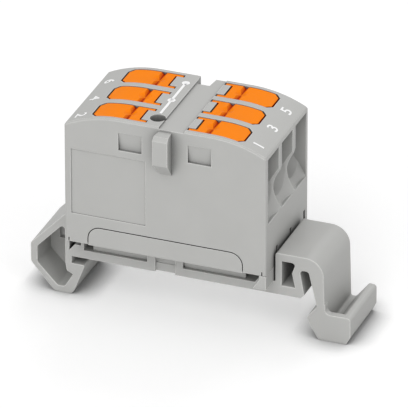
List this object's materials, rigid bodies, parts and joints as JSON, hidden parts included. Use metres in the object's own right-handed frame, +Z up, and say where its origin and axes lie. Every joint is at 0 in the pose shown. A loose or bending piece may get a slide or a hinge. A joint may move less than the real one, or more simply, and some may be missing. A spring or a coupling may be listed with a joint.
{
  "type": "power distribution block",
  "caption": "Push-in terminal block that joins several wires, with orange release levers and a foot that clips onto a mounting rail.",
  "frame": {"origin": "middle of the foot's face that sits on the mounting rail", "axes": "+X across the rail towards the latch, +Y along the rail, +Z up towards the levers"},
  "size_m": [0.0458, 0.0181, 0.0293],
  "materials": {
    "grey_plastic": "fine matt moulded polyamide",
    "foot_plastic": "fine matt moulded polyamide",
    "orange_plastic": "satin moulded polyamide",
    "copper": "tin-plated copper",
    "spring_steel": "bright rolled strip",
    "cage_steel": "bright rolled strip"
  },
  "bodies": {
    "block": {"housing": "grey_plastic", "base_cover": "grey_plastic", "current_bar": "copper", "rail_foot": "foot_plastic", "clamp_spring_1": "spring_steel", "clamp_spring_2": "spring_steel", "clamp_spring_3": "spring_steel", "clamp_spring_4": "spring_steel", "clamp_spring_5": "spring_steel", "clamp_spring_6": "spring_steel", "clamp_cage_1": "cage_steel", "clamp_cage_2": "cage_steel", "clamp_cage_3": "cage_steel", "clamp_cage_4": "cage_steel", "clamp_cage_5": "cage_steel", "clamp_cage_6": "cage_steel"},
    "lever_1": {"release_lever_1": "orange_plastic"},
    "lever_2": {"release_lever_2": "orange_plastic"},
    "lever_3": {"release_lever_3": "orange_plastic"},
    "lever_4": {"release_lever_4": "orange_plastic"},
    "lever_5": {"release_lever_5": "orange_plastic"},
    "lever_6": {"release_lever_6": "orange_plastic"}
  },
  "joints": [
    {"name": "lever_1_press", "type": "hinge", "parent": "block", "child": "lever_1", "pos_m": [0.0005, -0.0052, 0.02255], "axis": [0, 1, 0], "range_deg": [0, 9], "stiffness_Nm_per_rad": 0.05, "springref_deg": -1.15, "deforming": ["clamp_spring_1"]},
    {"name": "lever_2_press", "type": "hinge", "parent": "block", "child": "lever_2", "pos_m": [-0.0065, -0.0052, 0.02255], "axis": [0, -1, 0], "range_deg": [0, 9], "stiffness_Nm_per_rad": 0.05, "springref_deg": -1.15, "deforming": ["clamp_spring_2"]},
    {"name": "lever_3_press", "type": "hinge", "parent": "block", "child": "lever_3", "pos_m": [0.0005, 0, 0.02255], "axis": [0, 1, 0], "range_deg": [0, 9], "stiffness_Nm_per_rad": 0.05, "springref_deg": -1.15, "deforming": ["clamp_spring_3"]},
    {"name": "lever_4_press", "type": "hinge", "parent": "block", "child": "lever_4", "pos_m": [-0.0065, 0, 0.02255], "axis": [0, -1, 0], "range_deg": [0, 9], "stiffness_Nm_per_rad": 0.05, "springref_deg": -1.15, "deforming": ["clamp_spring_4"]},
    {"name": "lever_5_press", "type": "hinge", "parent": "block", "child": "lever_5", "pos_m": [0.0005, 0.0052, 0.02255], "axis": [0, 1, 0], "range_deg": [0, 9], "stiffness_Nm_per_rad": 0.05, "springref_deg": -1.15, "deforming": ["clamp_spring_5"]},
    {"name": "lever_6_press", "type": "hinge", "parent": "block", "child": "lever_6", "pos_m": [-0.0065, 0.0052, 0.02255], "axis": [0, -1, 0], "range_deg": [0, 9], "stiffness_Nm_per_rad": 0.05, "springref_deg": -1.15, "deforming": ["clamp_spring_6"]}
  ]
}
